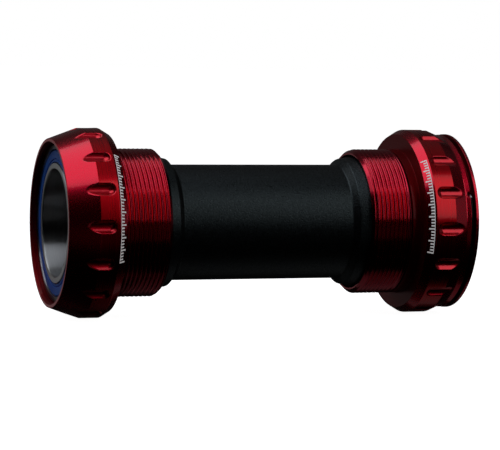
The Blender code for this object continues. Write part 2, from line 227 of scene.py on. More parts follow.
# Lights and floor, in metres
LIGHT_DISTANCE = 0.9
MIDDLE = (0, 0, 0)
FLOOR_HALF_WIDTH = 6.0
FLOOR_GAP = 0.0002


def side_length(low, high, axis):
    """A box's size along an axis, in millimetres."""
    return (high[axis] - low[axis]) / MM


# ---- mesh helpers


def linked(name, data):
    """A new object for this data, in the scene."""
    made = bpy.data.objects.new(name, data)
    bpy.context.scene.collection.objects.link(made)
    return made


def placed(thing, location, turned_round):
    """The object at a place in millimetres, with its own +X turned to -X if turned_round."""
    thing.location = [MM * value for value in location]
    thing.rotation_euler = (0, 0, math.pi if turned_round else 0)
    bpy.context.view_layer.update()
    return thing


def new_object(name, points, faces, location=(0, 0, 0), turned_round=False):
    """A smooth mesh object. Points are in millimetres in the object's own frame."""
    mesh = bpy.data.meshes.new(name)
    mesh.from_pydata((np.asarray(points, float) * MM).tolist(), [], faces)
    mesh.validate()
    mesh.update()
    mesh.shade_smooth()
    return placed(linked(name, mesh), location, turned_round)


def rounded_outline(corners, closed=False):
    """An outline through corners (distance, radius, fillet), with each corner rounded by its fillet.

    A fillet takes at most FILLET_SHARE of an edge. Two close points beside it keep the flat
    stretches flat under smooth shading.
    """
    points = []
    count = len(corners)
    for index, (a, r, fillet) in enumerate(corners):
        here = np.array([a, r], float)
        inner = 0 < index < count - 1
        if fillet <= 0 or not (inner or closed):
            points.append(here)
            continue
        before = np.array(corners[index - 1][:2], float)
        after = np.array(corners[(index + 1) % count][:2], float)
        to_before, to_after = before - here, after - here
        reach = FILLET_SHARE * min(np.linalg.norm(to_before), np.linalg.norm(to_after))
        to_before /= np.linalg.norm(to_before)
        to_after /= np.linalg.norm(to_after)
        half = math.acos(max(-1.0, min(1.0, float(to_before @ to_after)))) / 2
        back = min(fillet / math.tan(half), reach)
        size = back * math.tan(half)
        middle = to_before + to_after
        middle /= np.linalg.norm(middle)
        centre = here + middle * size / math.sin(half)
        start = here + to_before * back - centre
        end = here + to_after * back - centre
        turn = math.atan2(start[0] * end[1] - start[1] * end[0], float(start @ end))
        margin = min(FILLET_MARGIN, 0.05 * back + 0.005)
        points.append(here + to_before * (back + margin))
        for step in range(FILLET_STEPS + 1):
            angle = turn * step / FILLET_STEPS
            cosine, sine = math.cos(angle), math.sin(angle)
            spun = [cosine * start[0] - sine * start[1], sine * start[0] + cosine * start[1]]
            points.append(centre + np.array(spun))
        points.append(here + to_after * (back + margin))
    return [tuple(point) for point in points]


def subdivided(points, spacing, low, high, least_radius=0.0):
    """The outline with more points between two distances along the axis, no further apart than spacing.

    Stretches that come within least_radius of the axis stay as they are.
    """
    result = [points[0]]
    for (a0, r0), (a1, r1) in zip(points, points[1:]):
        between = min(a0, a1) >= low - TOLERANCE and max(a0, a1) <= high + TOLERANCE
        chosen = between and min(r0, r1) > least_radius
        parts = max(1, math.ceil(math.hypot(a1 - a0, r1 - r0) / spacing)) if chosen else 1
        for part in range(1, parts + 1):
            share = part / parts
            result.append((a0 + (a1 - a0) * share, r0 + (r1 - r0) * share))
    return result


def split_at(points, places):
    """The outline with extra points where it crosses the given distances along the axis."""
    result = [points[0]]
    for (a0, r0), (a1, r1) in zip(points, points[1:]):
        low, high = min(a0, a1) + TOLERANCE, max(a0, a1) - TOLERANCE
        crossed = [place for place in places if low < place < high]
        for place in sorted(crossed, reverse=bool(a1 < a0)):
            share = (place - a0) / (a1 - a0)
            result.append((place, r0 + (r1 - r0) * share))
        result.append((a1, r1))
    return result


def swept_points(distances, radii, angles):
    """Points of a surface of rows by columns. Angle 0 is straight up, right-handed about +X."""
    x = np.broadcast_to(distances, radii.shape)
    y = -radii * np.sin(angles)
    z = radii * np.cos(angles)
    return np.stack([x, y, z], axis=-1).reshape(-1, 3)


def grid_faces(rows, columns, first, closed_rows=False):
    """Quads between rows of a surface that is closed around its columns."""
    faces = []
    last = rows if closed_rows else rows - 1
    for row in range(last):
        base = first + row * columns
        above = first + ((row + 1) % rows) * columns
        for column in range(columns):
            side = (column + 1) % columns
            faces.append((base + column, above + column, above + side, base + side))
    return faces


def zipper_faces(angles_a, first_a, angles_b, first_b):
    """Triangles that join two rings with different numbers of points, both listed by growing angle."""
    faces = []
    i = j = 0
    na, nb = len(angles_a), len(angles_b)
    while i < na or j < nb:
        next_a = angles_a[(i + 1) % na] + (FULL_TURN if i + 1 >= na else 0)
        next_b = angles_b[(j + 1) % nb] + (FULL_TURN if j + 1 >= nb else 0)
        a, b = first_a + i % na, first_b + j % nb
        if j >= nb or (i < na and next_a <= next_b):
            faces.append((a, b, first_a + (i + 1) % na))
            i += 1
        else:
            faces.append((a, b, first_b + (j + 1) % nb))
            j += 1
    return faces


def lathe(name, corners, segments, location=(0, 0, 0), turned_round=False):
    """A closed ring turned from a closed, rounded outline."""
    outline = np.array(rounded_outline(corners, closed=True))
    angles = np.arange(segments) * FULL_TURN / segments
    distances = outline[:, :1]
    radii = np.repeat(outline[:, 1:], segments, axis=1)
    points = swept_points(distances, radii, angles)
    faces = grid_faces(len(outline), segments, 0, closed_rows=True)
    return outward(new_object(name, points, faces, location, turned_round))


def outward(thing):
    """The object with its faces turned outwards, judged by its volume's sign."""
    mesh = thing.data
    mesh.calc_loop_triangles()
    points = np.zeros(len(mesh.vertices) * 3)
    mesh.vertices.foreach_get("co", points)
    points = points.reshape(-1, 3)
    corners = np.zeros(len(mesh.loop_triangles) * 3, int)
    mesh.loop_triangles.foreach_get("vertices", corners)
    a, b, c = (points[corners.reshape(-1, 3)[:, k]] for k in range(3))
    if np.einsum("ij,ij->i", a, np.cross(b, c)).sum() < 0:
        mesh.flip_normals()
    return thing


# ---- the two cups


def notch_columns(phase):
    """Angles round a cup's head: close together in and beside each notch, wide apart between notches."""
    edge = math.acos((NOTCH_AXIS_RADIUS - LAND_RADIUS) / NOTCH_RADIUS)
    across = [edge * step / NOTCH_STEPS for step in range(NOTCH_STEPS + 1)]
    inside = [
        math.atan2(NOTCH_RADIUS * math.sin(t), NOTCH_AXIS_RADIUS - NOTCH_RADIUS * math.cos(t))
        for t in across
    ]
    beside = [inside[-1] + gap / LAND_RADIUS for gap in NOTCH_SIDE_GAPS]
    half_pitch = FULL_TURN / NOTCH_COUNT / 2
    plain = half_pitch - beside[-1]
    wide = [beside[-1] + plain * step / PLAIN_COLUMNS for step in range(1, PLAIN_COLUMNS)]
    half = inside[1:] + beside + wide
    one = sorted([-angle for angle in half] + [0.0] + half + [half_pitch])
    middles = [phase + FULL_TURN * notch / NOTCH_COUNT for notch in range(NOTCH_COUNT)]
    return np.array([middle + angle for middle in middles for angle in one])


def cut_notches(distances, radii, angles, phase):
    """The head's radii after ball-nosed cuts parallel to the axis, with softened edges."""
    pitch = FULL_TURN / NOTCH_COUNT
    from_notch = (angles - phase + pitch / 2) % pitch - pitch / 2
    nose = NOTCH_START + NOTCH_RADIUS
    short = np.maximum(nose - distances, 0.0)
    reach = np.sqrt(np.maximum(NOTCH_RADIUS**2 - short**2, 0.0))
    sideways = NOTCH_AXIS_RADIUS * np.sin(from_notch)
    deep = reach**2 - sideways**2
    floor = NOTCH_AXIS_RADIUS * np.cos(from_notch) - np.sqrt(np.maximum(deep, 0.0))
    floor = np.where(deep > 0, floor, np.inf)
    over = NOTCH_RADIUS**2 - (NOTCH_AXIS_RADIUS - radii) ** 2
    half_width = np.sqrt(np.maximum(over, 0.0))
    outside = np.hypot(radii * from_notch, short) - half_width
    gone = np.clip(1 - outside / EDGE_ROUNDING, 0.0, 1.0)
    softened = radii - EDGE_DROP * gone**2 * (over > 0)
    return np.minimum(softened, floor)


def cut_thread(distances, radii, angles, right_handed, offset, end):
    """The boss's radii with a thread cut into them: rounded crests, straight flanks, tight roots.

    The thread fades out where it meets the relief.
    """
    way = 1 if right_handed else -1
    turn = (distances - THREAD_START) / THREAD_PITCH - way * angles / FULL_TURN + offset
    from_crest = 1 - np.abs((turn % 1.0) - 0.5) * 2
    steepness = 1 / (1 - CREST_ROUNDING / 2 - ROOT_ROUNDING / 2)
    depth = steepness * (from_crest - CREST_ROUNDING / 2)
    crest = steepness * from_crest**2 / (2 * CREST_ROUNDING)
    depth = np.where(from_crest < CREST_ROUNDING, crest, depth)
    to_root = 1 - from_crest
    root = 1 - steepness * to_root**2 / (2 * ROOT_ROUNDING)
    depth = np.where(to_root < ROOT_ROUNDING, root, depth)
    fade = np.clip((end - distances) / THREAD_FADE, 0.0, 1.0)
    cut = THREAD_RADIUS - THREAD_DEPTH * depth * fade
    on_boss = (distances < end) & (distances > THREAD_START - 1.0) & (radii > MOUTH_RADIUS - 0.25)
    return np.where(on_boss, np.minimum(radii, cut), radii)


def make_cup(side, head_corners, body_corners, phase, thread, turned_round, holes=()):
    """One cup as a closed mesh: a notched head, and a turned body with the thread.

    The head's outline runs from the shell face outwards over the cup. The body's runs on from
    there, back through the bore and over the thread to the shell face. The flat rings between
    them hold the change in the number of columns.
    """
    nose_start = NOTCH_START - NOSE_MARGIN
    nose_end = NOTCH_START + NOTCH_RADIUS
    head = split_at(rounded_outline(head_corners), [nose_start, nose_end, NOTCH_RUN_OUT])
    head = subdivided(head, NOSE_SPACING, nose_start, nose_end)
    head = np.array(subdivided(head, NOTCH_SPACING, nose_end, NOTCH_RUN_OUT))
    head_angles = notch_columns(phase)
    head_a = head[:, :1]
    head_r = np.repeat(head[:, 1:], len(head_angles), axis=1)
    head_r = cut_notches(head_a, head_r, head_angles, phase)

    right_handed, offset, thread_end = thread
    body = rounded_outline(body_corners)
    body = np.array(subdivided(body, THREAD_SPACING, cup_inner_end, thread_end, BORE_RADIUS + 0.15))
    body_angles = np.arange(BODY_COLUMNS) * FULL_TURN / BODY_COLUMNS
    body_a = body[:, :1]
    body_r = np.repeat(body[:, 1:], BODY_COLUMNS, axis=1)
    body_r = cut_thread(body_a, body_r, body_angles, right_handed, offset, thread_end)

    head_points = swept_points(head_a, head_r, head_angles)
    body_points = swept_points(body_a, body_r, body_angles)
    points = np.vstack([head_points, body_points])
    head_columns = len(head_angles)
    last_head = (len(head) - 1) * head_columns
    first_body = len(head) * head_columns
    last_body = first_body + (len(body) - 1) * BODY_COLUMNS
    faces = grid_faces(len(head), head_columns, 0)
    faces += grid_faces(len(body), BODY_COLUMNS, first_body)
    faces += joined_rings(head_angles, 0, body_angles, last_body)
    faces += joined_rings(head_angles, last_head, body_angles, first_body)
    cup = new_object(side + "_cup", points, faces, turned_round=turned_round)
    tidy_normals(cup)
    if holes:
        cut_with(cup, holes)
        cup.data.shade_smooth()
    finish_piece(cup, side + "_side", side + "_side_cup", "red_anodised")
    for zone in CUP_ZONES[1:]:
        cup.data.materials.append(looks[zone])
    mark_zones(cup, side, head, thread_end)


def mark_zones(cup, side, head, thread_end):
    """Sorts the cup's faces into its zones by their middles, with small margins at the zones' edges."""
    centres = np.zeros(len(cup.data.polygons) * 3)
    cup.data.polygons.foreach_get("center", centres)
    centres = centres.reshape(-1, 3) / MM
    a = centres[:, 0]
    r = np.hypot(centres[:, 1], centres[:, 2])
    outside = (a > SHELL_FACE + 0.2) & (r > BEARING_SEAT + 0.9)
    land = outside & (r > LAND_RADIUS - 0.02)
    run = head[:, 0].argsort(kind="stable")
    uncut = np.interp(a, head[run, 0], head[run, 1])
    notch = outside & (a < NOTCH_RUN_OUT) & (r < uncut - EDGE_DROP - 0.02)
    seat = (a > thread_end) & (a < SHELL_FACE + 0.05) & (r > RELIEF_RADIUS - 0.1)
    bore = (a > THREAD_START) & (r <= RELIEF_RADIUS - 0.5)
    recess = (a > SHELL_FACE + 2) & (r < BEARING_SEAT + 0.55)
    zones = np.zeros(len(a), int)
    zones[a < thread_end] = THREAD_ZONE
    zones[land] = LAND_ZONE
    zones[notch] = NOTCH_ZONE
    # Seat, bore and recess faces get the darker red: painted shade in the hollows.
    zones[seat | bore | recess] = DULL_PAINTED_SHADE_ZONE
    zones[a > cup_outer_end - 0.15] = RIM_ZONE
    if side == "drive":
        # The groove and the flange's wall get the darker red too, as painted shade.
        groove = (a > GROOVE_START - 0.01) & (a < GROOVE_END + 0.02) & (r < COLLAR_END_RADIUS - 0.2)
        flange_wall = (np.abs(a - GROOVE_END) < 0.04) & (r < FLANGE_RADIUS)
        zones[groove | flange_wall] = DULL_PAINTED_SHADE_ZONE
    cup.data.polygons.foreach_set("material_index", zones)


def joined_rings(angles_a, first_a, angles_b, first_b):
    """The zipper between a head ring, whose angles start before its first notch, and a body ring."""
    turned = angles_a % FULL_TURN
    order = np.argsort(turned)
    made = zipper_faces(list(turned[order]), 0, list(angles_b), len(order))
    index = [first_a + int(k) for k in order] + [first_b + k for k in range(len(angles_b))]
    return [tuple(index[k] for k in face) for face in made]


def tidy_normals(thing):
    """Makes every face point out, by Blender's own recalculation."""
    bm = bmesh.new()
    bm.from_mesh(thing.data)
    bmesh.ops.recalc_face_normals(bm, faces=bm.faces[:])
    bm.to_mesh(thing.data)
    bm.free()


def bearing_recess():
    """The corners shared by both cups, from the outer face in through the bore to the thread's start."""
    shoulder = inner_face_of_bearing
    return [
        (cup_outer_end, LIP_RADIUS, 0.08),
        (cup_outer_end - LIP_DEPTH, BEARING_SEAT, 0.05),
        (shoulder, BEARING_SEAT, 0.06),
        (shoulder, BORE_RADIUS, 0.15),
        (cup_inner_end, BORE_RADIUS, 0.06),
        (cup_inner_end, MOUTH_RADIUS, 0.08),
        (THREAD_START, THREAD_RADIUS, 0.0),
    ]


drive_low, drive_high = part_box("drive_side_cup")
race_low, race_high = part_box("drive_outer_race")
cup_inner_end = drive_low.x / MM
cup_outer_end = drive_high.x / MM
bearing_centre = (race_low.x + race_high.x) / 2 / MM
bearing_half = (race_high.x - race_low.x) / 2 / MM
inner_face_of_bearing = bearing_centre - bearing_half - 0.02


def make_drive_cup():
    thread_end = THREAD_START + DRIVE_THREAD_TURNS * THREAD_PITCH
    relief_start = thread_end + RELIEF_RUN_OUT
    relief_end = relief_start + DRIVE_RELIEF_WIDTH
    head = [
        (SHELL_FACE, SHELL_FACE_RING[0], 0),
        (SHELL_FACE, SEAT_RADIUS, 0.1),
        (LAND_START, LAND_RADIUS, 0.25),
        (DRIVE_LAND_END, LAND_RADIUS, 0.25),
        (COLLAR_START, COLLAR_START_RADIUS, 0.6),
        (GROOVE_START, COLLAR_END_RADIUS, 0.1),
        (GROOVE_START, GROOVE_RING[0], 0),
    ]
    body = [
        (GROOVE_START, GROOVE_RING[1], 0),
        (GROOVE_START, GROOVE_FLOOR, 0.12),
        (GROOVE_END, GROOVE_FLOOR, 0.12),
        (GROOVE_END, FLANGE_RADIUS, 0.1),
        (cup_outer_end, FLANGE_RADIUS, 0.14),
        *bearing_recess(),
        (thread_end, THREAD_RADIUS, 0.0),
        (relief_start, RELIEF_RADIUS, 0.05),
        (relief_end, RELIEF_RADIUS, 0.08),
        (relief_end + DRIVE_RELIEF_SLOPE, THREAD_RADIUS, 0.05),
        (SHELL_FACE, THREAD_RADIUS, 0.1),
        (SHELL_FACE, SHELL_FACE_RING[1], 0),
    ]
    thread = (False, DRIVE_THREAD_OFFSET, thread_end)
    hole_floor = BEARING_SEAT + 0.15
    hole_top = FLANGE_RADIUS + 0.5
    holes = [
        rod("clip_hole", CLIP_HOLE_PLACE, CLIP_HOLE_RADIUS, hole_floor, hole_top, angle)
        for angle in (CLIP_END_ANGLE, -CLIP_END_ANGLE)
    ]
    make_cup("drive", head, body, DRIVE_NOTCH_PHASE, thread, False, holes)


def make_non_drive_cup():
    thread_end = THREAD_START + NON_DRIVE_THREAD_TURNS * THREAD_PITCH
    head = [
        (SHELL_FACE, SHELL_FACE_RING[0], 0),
        (SHELL_FACE, SEAT_RADIUS, 0.1),
        (LAND_START, LAND_RADIUS, 0.25),
        (NON_DRIVE_LAND_END, LAND_RADIUS, 0.25),
        (cup_outer_end, NON_DRIVE_END_RADIUS, 0.1),
        (cup_outer_end, NON_DRIVE_END_RING[0], 0),
    ]
    body = [
        (cup_outer_end, NON_DRIVE_END_RING[1], 0),
        *bearing_recess(),
        (thread_end, THREAD_RADIUS, 0.0),
        (thread_end + RELIEF_RUN_OUT, RELIEF_RADIUS, 0.05),
        (SHELL_FACE - NON_DRIVE_RELIEF_SLOPE, RELIEF_RADIUS, 0.05),
        (SHELL_FACE, NON_DRIVE_SEAT_RADIUS, 0.05),
        (SHELL_FACE, SHELL_FACE_RING[1], 0),
    ]
    thread = (True, NON_DRIVE_THREAD_OFFSET, thread_end)
    make_cup("non_drive", head, body, NON_DRIVE_NOTCH_PHASE, thread, True)


# ---- materials


DEEP_RED = (0.64, 0.002, 0.022)
BRIGHT_RED = (0.72, 0.004, 0.034)
METRES_PER_RADIAN = 0.0004


def principled(name):
    made = bpy.data.materials.new(name)
    made.use_nodes = True
    tree = made.node_tree
    return made, tree, tree.nodes["Principled BSDF"]


def node(tree, kind, **values):
    made = tree.nodes.new(kind)
    for key, value in values.items():
        setattr(made, key, value)
    return made


def object_place(tree):
    """Object coordinates, for grain and clouds."""
    return node(tree, "ShaderNodeTexCoord").outputs["Object"]


def ring_place(tree):
    """Object coordinates as (distance along the axis, radius, a slowed angle), for turned surfaces."""
    split = node(tree, "ShaderNodeSeparateXYZ")
    tree.links.new(object_place(tree), split.inputs[0])
    flat = node(tree, "ShaderNodeCombineXYZ")
    tree.links.new(split.outputs["Y"], flat.inputs["X"])
    tree.links.new(split.outputs["Z"], flat.inputs["Y"])
    radius = node(tree, "ShaderNodeVectorMath", operation="LENGTH")
    tree.links.new(flat.outputs[0], radius.inputs[0])
    angle = node(tree, "ShaderNodeMath", operation="ARCTAN2")
    tree.links.new(split.outputs["Y"], angle.inputs[0])
    tree.links.new(split.outputs["Z"], angle.inputs[1])
    slow = node(tree, "ShaderNodeMath", operation="MULTIPLY")
    slow.inputs[1].default_value = METRES_PER_RADIAN
    tree.links.new(angle.outputs[0], slow.inputs[0])
    rings = node(tree, "ShaderNodeCombineXYZ")
    tree.links.new(split.outputs["X"], rings.inputs["X"])
    tree.links.new(radius.outputs["Value"], rings.inputs["Y"])
    tree.links.new(slow.outputs[0], rings.inputs["Z"])
    return rings.outputs[0]


def noise(tree, vector, scale, detail=2.0, roughness=0.5):
    made = node(tree, "ShaderNodeTexNoise")
    made.inputs["Scale"].default_value = scale
    made.inputs["Detail"].default_value = detail
    made.inputs["Roughness"].default_value = roughness
    tree.links.new(vector, made.inputs["Vector"])
    return made.outputs["Fac"]


def to_range(tree, value, low, high, from_low=0.0, from_high=1.0):
    made = node(tree, "ShaderNodeMapRange")
    made.inputs["From Min"].default_value = from_low
    made.inputs["From Max"].default_value = from_high
    made.inputs["To Min"].default_value = low
    made.inputs["To Max"].default_value = high
    tree.links.new(value, made.inputs["Value"])
    return made.outputs[0]


def set_colour(tree, shader, factor, first, second):
    """Gives the surface a colour between two, and returns it."""
    made = node(tree, "ShaderNodeMix", data_type="RGBA")
    made.inputs["A"].default_value = (*first, 1)
    made.inputs["B"].default_value = (*second, 1)
    tree.links.new(factor, made.inputs["Factor"])
    tree.links.new(made.outputs["Result"], shader.inputs["Base Color"])
    return made.outputs["Result"]


def set_roughness(tree, shader, factor, low, high, from_low=0.0, from_high=1.0):
    rough = to_range(tree, factor, low, high, from_low, from_high)
    tree.links.new(rough, shader.inputs["Roughness"])


def set_coat(shader, weight, roughness):
    """The clear oxide layer over anodised metal."""
    shader.inputs["Coat Weight"].default_value = weight
    shader.inputs["Coat Roughness"].default_value = roughness
    shader.inputs["Coat IOR"].default_value = 1.42


def bump(tree, shader, height, distance, strength):
    made = node(tree, "ShaderNodeBump")
    made.inputs["Strength"].default_value = strength
    made.inputs["Distance"].default_value = distance
    tree.links.new(height, made.inputs["Height"])
    tree.links.new(made.outputs[0], shader.inputs["Normal"])


def axial_sheen(tree, shader, amount):
    """Reflections that spread along the axis, as fine turning or grinding rings spread them."""
    tangent = node(tree, "ShaderNodeTangent", direction_type="RADIAL", axis="X")
    tree.links.new(tangent.outputs[0], shader.inputs["Tangent"])
    shader.inputs["Anisotropic"].default_value = amount
    shader.inputs["Anisotropic Rotation"].default_value = 0.25


def anodised(name, roughness, coat, sheen=0.0, rings_shown=False, low=DEEP_RED, high=BRIGHT_RED):
    """Dyed anodised aluminium: a clear oxide layer over metal, with its turning rings shown or not."""
    made, tree, shader = principled(name)
    place = object_place(tree)
    coarse = noise(tree, ring_place(tree) if rings_shown else place, scale=2400, detail=3.0)
    set_colour(tree, shader, noise(tree, place, scale=90, detail=3.0), low, high)
    vary = 0.05 if rings_shown else 0.02
    set_roughness(tree, shader, coarse, roughness - vary, roughness + vary)
    shader.inputs["Metallic"].default_value = 1.0
    set_coat(shader, coat, 0.1)
    if sheen:
        axial_sheen(tree, shader, sheen)
    if rings_shown:
        bump(tree, shader, coarse, 0.005 * MM, strength=0.6)
    return made


def milled():
    """The notches' cut surface, mottled by the cutter."""
    made, tree, shader = principled("milled anodised aluminium")
    cloud = noise(tree, object_place(tree), scale=500, detail=3.0)
    set_colour(tree, shader, cloud, (0.60, 0.002, 0.014), (0.72, 0.004, 0.026))
    set_roughness(tree, shader, cloud, 0.24, 0.36)
    shader.inputs["Metallic"].default_value = 1.0
    set_coat(shader, 1.0, 0.12)
    return made


def black_composite():
    """Moulded black composite with a fine satin grain."""
    made, tree, shader = principled("black composite")
    place = object_place(tree)
    grain = noise(tree, place, scale=3600, roughness=0.6)
    cloud = noise(tree, place, scale=60)
    set_colour(tree, shader, cloud, (0.0015, 0.0018, 0.002), (0.003, 0.0035, 0.004))
    set_roughness(tree, shader, grain, 0.24, 0.44, from_low=0.35, from_high=0.65)
    shader.inputs["Specular Tint"].default_value = (0.74, 0.94, 1.0, 1)
    bump(tree, shader, grain, 0.1 * MM, strength=0.7)
    return made


def bearing_steel(name, roughness, sheen=0.0, low=(0.5, 0.52, 0.53), high=(0.64, 0.66, 0.67)):
    """Ground bearing steel, with fine rings from grinding. roughness is a range."""
    made, tree, shader = principled(name)
    coarse = noise(tree, ring_place(tree), scale=3500, detail=3.0)
    set_colour(tree, shader, coarse, low, high)
    set_roughness(tree, shader, coarse, *roughness)
    shader.inputs["Metallic"].default_value = 1.0
    if sheen:
        axial_sheen(tree, shader, sheen)
    return made


def blue_rubber():
    """Moulded blue seal rubber with a faint grain."""
    made, tree, shader = principled("blue seal rubber")
    place = object_place(tree)
    grain = noise(tree, place, scale=4000)
    set_colour(tree, shader, noise(tree, place, scale=150), (0.003, 0.085, 0.46), (0.006, 0.12, 0.58))
    set_roughness(tree, shader, grain, 0.34, 0.5)
    bump(tree, shader, grain, 0.01 * MM, strength=0.3)
    return made


def spring_wire():
    """Drawn spring steel wire, darkened as painted shade, with its gloss broken up."""
    made, tree, shader = principled("spring wire in painted shade")
    drawn = noise(tree, ring_place(tree), scale=6000)
    set_colour(tree, shader, drawn, (0.012, 0.012, 0.013), (0.022, 0.022, 0.024))
    set_roughness(tree, shader, drawn, 0.3, 0.45)
    shader.inputs["Metallic"].default_value = 1.0
    return made


def grained(name, scale, detail, colours, roughness, relief=0.0):
    """A plain solid with a fine grain in its colour and gloss, and in its height if it has relief."""
    made, tree, shader = principled(name)
    grain = noise(tree, object_place(tree), scale, detail)
    set_colour(tree, shader, grain, *colours)
    set_roughness(tree, shader, grain, *roughness)
    if relief:
        bump(tree, shader, grain, relief, strength=0.3)
    return made


def black_rubber():
    colours = ((0.008, 0.008, 0.008), (0.02, 0.02, 0.02))
    return grained("black rubber", 3000, 2.0, colours, (0.5, 0.65), relief=0.01 * MM)


def cage_polymer():
    colours = ((0.5, 0.42, 0.28), (0.62, 0.53, 0.37))
    return grained("cage polymer", 1500, 3.0, colours, (0.4, 0.6), relief=0.01 * MM)


def black_ceramic():
    colours = ((0.015, 0.015, 0.016), (0.03, 0.03, 0.032))
    return grained("polished ceramic", 1200, 3.0, colours, (0.05, 0.12))


def pale_ink():
    """Printed ink, with a faint glow that keeps it pale where the cone is dark."""
    made, tree, shader = principled("pale ink")
    speckle = noise(tree, object_place(tree), scale=3500)
    colour = set_colour(tree, shader, speckle, (0.8, 0.8, 0.8), (0.95, 0.95, 0.95))
    set_roughness(tree, shader, speckle, 0.4, 0.55)
    tree.links.new(colour, shader.inputs["Emission Color"])
    shader.inputs["Emission Strength"].default_value = 0.22
    return made


looks = {
    "red_anodised": anodised("red anodised aluminium", 0.27, coat=0.75, sheen=0.4),
    "turned_land": anodised(
        "turned red anodised aluminium",
        0.28,
        coat=0.55,
        sheen=0.5,
        rings_shown=True,
        low=(0.60, 0.002, 0.008),
        high=(0.68, 0.003, 0.014),
    ),
    "thread": anodised(
        "threaded red anodised aluminium",
        0.17,
        coat=0.85,
        low=(0.58, 0.002, 0.026),
        high=(0.68, 0.003, 0.040),
    ),
    "rim": anodised("red anodised rim", 0.3, coat=0.25, rings_shown=True),
    # A darker, rougher copy of the red anodising: painted shade on recessed faces.
    "dull_painted_shade": anodised(
        "dull red anodised aluminium in painted shade",
        0.48,
        coat=0.2,
        rings_shown=True,
        low=(0.16, 0.001, 0.003),
        high=(0.2, 0.001, 0.005),
    ),
    "milled_notch": milled(),
    "black_composite": black_composite(),
    "bearing_steel": bearing_steel("ground bearing steel", (0.36, 0.44), sheen=1.0),
    # Lapped steel for the inner races' ends, also used as a painted glint on the clip's ends.
    "race_end_and_clip_glint": bearing_steel("lapped bearing steel and painted clip glint", (0.24, 0.34)),
    # A darker copy of the steel: painted shade on the outer races' ends.
    "painted_shade_race_end": bearing_steel(
        "bearing steel in painted shade", (0.24, 0.34), low=(0.10, 0.105, 0.11), high=(0.15, 0.155, 0.16)
    ),
    "blue_seal": blue_rubber(),
    "o_ring_rubber": black_rubber(),
    "spring_wire": spring_wire(),
    "cage_polymer": cage_polymer(),
    "ceramic": black_ceramic(),
    "ink": pale_ink(),
}


def finish_piece(piece, body, cad_node, slot):
    """Gives a piece the look named by slot and its body, and hides the CAD node that it stands for."""
    piece.data.materials.clear()
    piece.data.materials.append(looks[slot])
    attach(piece, body)
    if cad_node is not None:
        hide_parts(cad_node)


# ---- bearings, sleeve, clip


def raceway(land_radius, way):
    """The rounded groove the balls run in, from land to land. way is 1 outside the balls, -1 inside."""
    lean = math.asin(abs(land_radius - PITCH_RADIUS) / RACEWAY_RADIUS)
    points = []
    for step in range(RACEWAY_STEPS + 1):
        angle = lean + (math.pi - 2 * lean) * step / RACEWAY_STEPS
        across = RACEWAY_RADIUS * math.cos(angle)
        points.append((across, PITCH_RADIUS + way * RACEWAY_RADIUS * math.sin(angle), 0))
    return points


def outer_race_corners():
    half, land = bearing_half, RACE_LAND_HALF_WIDTH
    return [
        (-half, OUTER_RACE_STEP, 0.08),
        (-half, OUTER_RACE_RADIUS, 0.3),
        (half, OUTER_RACE_RADIUS, 0.3),
        (half, OUTER_RACE_STEP, 0.08),
        (land, OUTER_RACE_STEP, 0.05),
        (land, OUTER_RACE_LAND, 0.06),
        *raceway(OUTER_RACE_LAND, 1),
        (-land, OUTER_RACE_LAND, 0.06),
        (-land, OUTER_RACE_STEP, 0.05),
    ]


def inner_race_corners():
    half, land = bearing_half, RACE_LAND_HALF_WIDTH
    return [
        (-half, INNER_RACE_BORE, 0.4),
        (-half, INNER_RACE_STEP, 0.12),
        (-land, INNER_RACE_STEP, 0.05),
        (-land, INNER_RACE_LAND, 0.06),
        *reversed(raceway(INNER_RACE_LAND, -1)),
        (land, INNER_RACE_LAND, 0.06),
        (land, INNER_RACE_STEP, 0.05),
        (half, INNER_RACE_STEP, 0.12),
        (half, INNER_RACE_BORE, 0.4),
    ]


def seal_corners():
    """A seal ring: a rim in the race's step, a flat web, a groove, and a lip at the inner race."""
    return [
        (SEAL_BACK, SEAL_LIP_RADIUS, 0.04),
        (SEAL_BACK, SEAL_RIM_RADIUS, 0.04),
        (SEAL_RIM_FACE, SEAL_RIM_RADIUS, 0.05),
        (SEAL_RIM_FACE, SEAL_WEB_RADIUS + SEAL_DRAFT, 0.04),
        (SEAL_FACE, SEAL_WEB_RADIUS, 0.1),
        (SEAL_FACE, SEAL_GROOVE_OUTER_RADIUS, 0.08),
        (SEAL_GROOVE_FACE, SEAL_GROOVE_OUTER_RADIUS - SEAL_DRAFT, 0.04),
        (SEAL_GROOVE_FACE, SEAL_GROOVE_INNER_RADIUS + SEAL_DRAFT, 0.04),
        (SEAL_FACE, SEAL_GROOVE_INNER_RADIUS, 0.08),
        (SEAL_FACE, SEAL_LIP_RADIUS, 0.08),
    ]


def merged(pieces):
    """The first object, with the others' meshes joined to it."""
    whole = bmesh.new()
    for piece in pieces:
        whole.from_mesh(piece.data)
    whole.to_mesh(pieces[0].data)
    whole.free()
    for piece in pieces[1:]:
        bpy.data.objects.remove(piece)
    return pieces[0]


def rod(name, distance, radius, low, high, angle):
    """A round rod that points out from the axis, as a cutter."""
    bm = bmesh.new()
    lift = Matrix.Translation((MM * distance, 0, MM * (low + high) / 2))
    bmesh.ops.create_cone(
        bm,
        cap_ends=True,
        segments=ROD_SEGMENTS,
        radius1=MM * radius,
        radius2=MM * radius,
        depth=MM * (high - low),
        matrix=Matrix.Rotation(angle, 4, "X") @ lift,
    )
    mesh = bpy.data.meshes.new(name)
    bm.to_mesh(mesh)
    bm.free()
    return linked(name, mesh)


def cut_with(thing, cutters):
    """Takes the cutters' shapes out of a mesh, and the cutters out of the scene."""
    cutter = merged(cutters)
    cutter.matrix_world = thing.matrix_world
    modifier = thing.modifiers.new("cut", "BOOLEAN")
    modifier.solver = "EXACT"
    modifier.object = cutter
    graph = bpy.context.evaluated_depsgraph_get()
    made = bpy.data.meshes.new_from_object(thing.evaluated_get(graph))
    thing.modifiers.clear()
    thing.data = made
    bpy.data.objects.remove(cutter)


